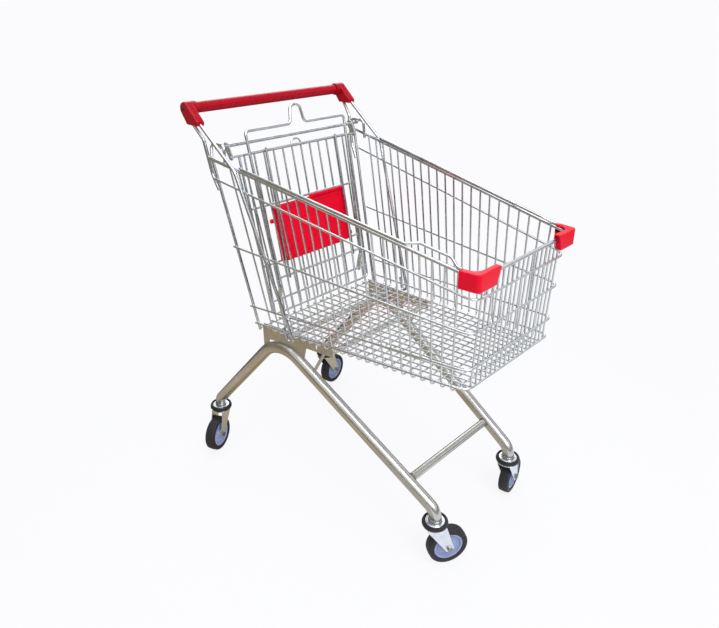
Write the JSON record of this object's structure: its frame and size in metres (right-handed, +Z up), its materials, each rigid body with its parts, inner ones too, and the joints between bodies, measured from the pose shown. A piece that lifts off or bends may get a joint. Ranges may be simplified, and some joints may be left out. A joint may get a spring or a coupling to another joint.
{
  "type": "shopping cart",
  "caption": "Wire shopping cart: tapered welded basket on bent tube legs with swivel casters, rear flap on a hinge rod, folding child seat, red handle and bumpers.",
  "frame": {"origin": "floor under the middle of the cart, between the four casters", "axes": "+X the way the cart is pushed, +Y to its left, +Z up"},
  "size_m": [0.86, 0.5963, 1.0005],
  "materials": {
    "wire": "bright zinc plated steel wire",
    "tube": "zinc plated and lacquered steel tube",
    "sheet": "zinc plated sheet steel",
    "plated_steel": "zinc plated pressed steel",
    "fastener": "zinc plated bolt",
    "collar": "black moulded plastic",
    "hub": "blue grey moulded plastic",
    "tyre": "dark rubber tread",
    "red_plastic": "glossy red moulded plastic"
  },
  "bodies": {
    "cart": {"right_leg": "tube", "left_leg": "tube", "front_cross_tube": "tube", "under_tubes": "tube", "right_side_plate": "sheet", "left_side_plate": "sheet", "leg_braces": "tube", "foot_plates": "plated_steel", "caster_collars": "collar", "kingpins": "fastener", "basket_rim": "wire", "rim_rails": "wire", "upper_band": "wire", "middle_band": "wire", "lower_band": "wire", "bottom_band": "wire", "right_side_wires": "wire", "left_side_wires": "wire", "front_wires": "wire", "floor_long_wires": "wire", "floor_cross_wires": "wire", "right_rear_post": "wire", "left_rear_post": "wire", "hinge_rod": "wire", "right_front_stay": "wire", "left_front_stay": "wire", "right_rear_stay": "wire", "left_rear_stay": "wire", "handle_tube": "tube", "handle_grip": "red_plastic", "right_handle_end": "red_plastic", "left_handle_end": "red_plastic", "right_bumper": "red_plastic", "left_bumper": "red_plastic"},
    "flap": {"flap_top_bar": "wire", "flap_frame": "wire", "flap_uprights": "wire", "flap_cross_wires": "wire", "flap_ears": "sheet"},
    "seat_back": {"seat_back_frame": "wire", "seat_back_cross_wires": "wire", "seat_back_uprights": "wire", "seat_back_links": "sheet"},
    "seat_plate": {"seat_plate": "red_plastic"},
    "front_right_caster": {"front_right_fork": "plated_steel", "front_right_axle": "fastener"},
    "front_right_wheel": {"front_right_hub": "hub", "front_right_tyre": "tyre"},
    "front_left_caster": {"front_left_fork": "plated_steel", "front_left_axle": "fastener"},
    "front_left_wheel": {"front_left_hub": "hub", "front_left_tyre": "tyre"},
    "rear_right_caster": {"rear_right_fork": "plated_steel", "rear_right_axle": "fastener"},
    "rear_right_wheel": {"rear_right_hub": "hub", "rear_right_tyre": "tyre"},
    "rear_left_caster": {"rear_left_fork": "plated_steel", "rear_left_axle": "fastener"},
    "rear_left_wheel": {"rear_left_hub": "hub", "rear_left_tyre": "tyre"}
  },
  "joints": [
    {"name": "flap_swing", "type": "hinge", "parent": "cart", "child": "flap", "pos_m": [-0.268, 0, 0.9047], "axis": [0, -1, 0], "range_deg": [0, 75]},
    {"name": "seat_back_open", "type": "hinge", "parent": "flap", "child": "seat_back", "pos_m": [-0.17878, 0, 0.52229], "axis": [0, 1, 0], "range_deg": [0, 55]},
    {"name": "seat_plate_fold", "type": "hinge", "parent": "flap", "child": "seat_plate", "pos_m": [-0.19784, 0, 0.61434], "axis": [0, 1, 0], "range_deg": [0, 91]},
    {"name": "front_right_swivel", "type": "hinge", "parent": "cart", "child": "front_right_caster", "pos_m": [0.352, -0.157, 0.1], "axis": [0, 0, 1], "continuous": true},
    {"name": "front_right_roll", "type": "hinge", "parent": "front_right_caster", "child": "front_right_wheel", "pos_m": [0.369, -0.12756, 0.05], "axis": [-0.866, 0.5, 0], "continuous": true},
    {"name": "front_left_swivel", "type": "hinge", "parent": "cart", "child": "front_left_caster", "pos_m": [0.352, 0.157, 0.1], "axis": [0, 0, 1], "continuous": true},
    {"name": "front_left_roll", "type": "hinge", "parent": "front_left_caster", "child": "front_left_wheel", "pos_m": [0.3461, 0.19048, 0.05], "axis": [-0.9848, -0.1736, 0], "continuous": true},
    {"name": "rear_right_swivel", "type": "hinge", "parent": "cart", "child": "rear_right_caster", "pos_m": [-0.399, -0.216, 0.1], "axis": [0, 0, 1], "continuous": true},
    {"name": "rear_right_roll", "type": "hinge", "parent": "rear_right_caster", "child": "rear_right_wheel", "pos_m": [-0.38517, -0.24706, 0.05], "axis": [0.9135, 0.4067, 0], "continuous": true},
    {"name": "rear_left_swivel", "type": "hinge", "parent": "cart", "child": "rear_left_caster", "pos_m": [-0.399, 0.216, 0.1], "axis": [0, 0, 1], "continuous": true},
    {"name": "rear_left_roll", "type": "hinge", "parent": "rear_left_caster", "child": "rear_left_wheel", "pos_m": [-0.40432, 0.24958, 0.05], "axis": [-0.9877, -0.1564, 0], "continuous": true}
  ],
  "couplings": [
    {"joint": "seat_plate_fold", "follows": "seat_back_open", "ratio": 1.65}
  ]
}
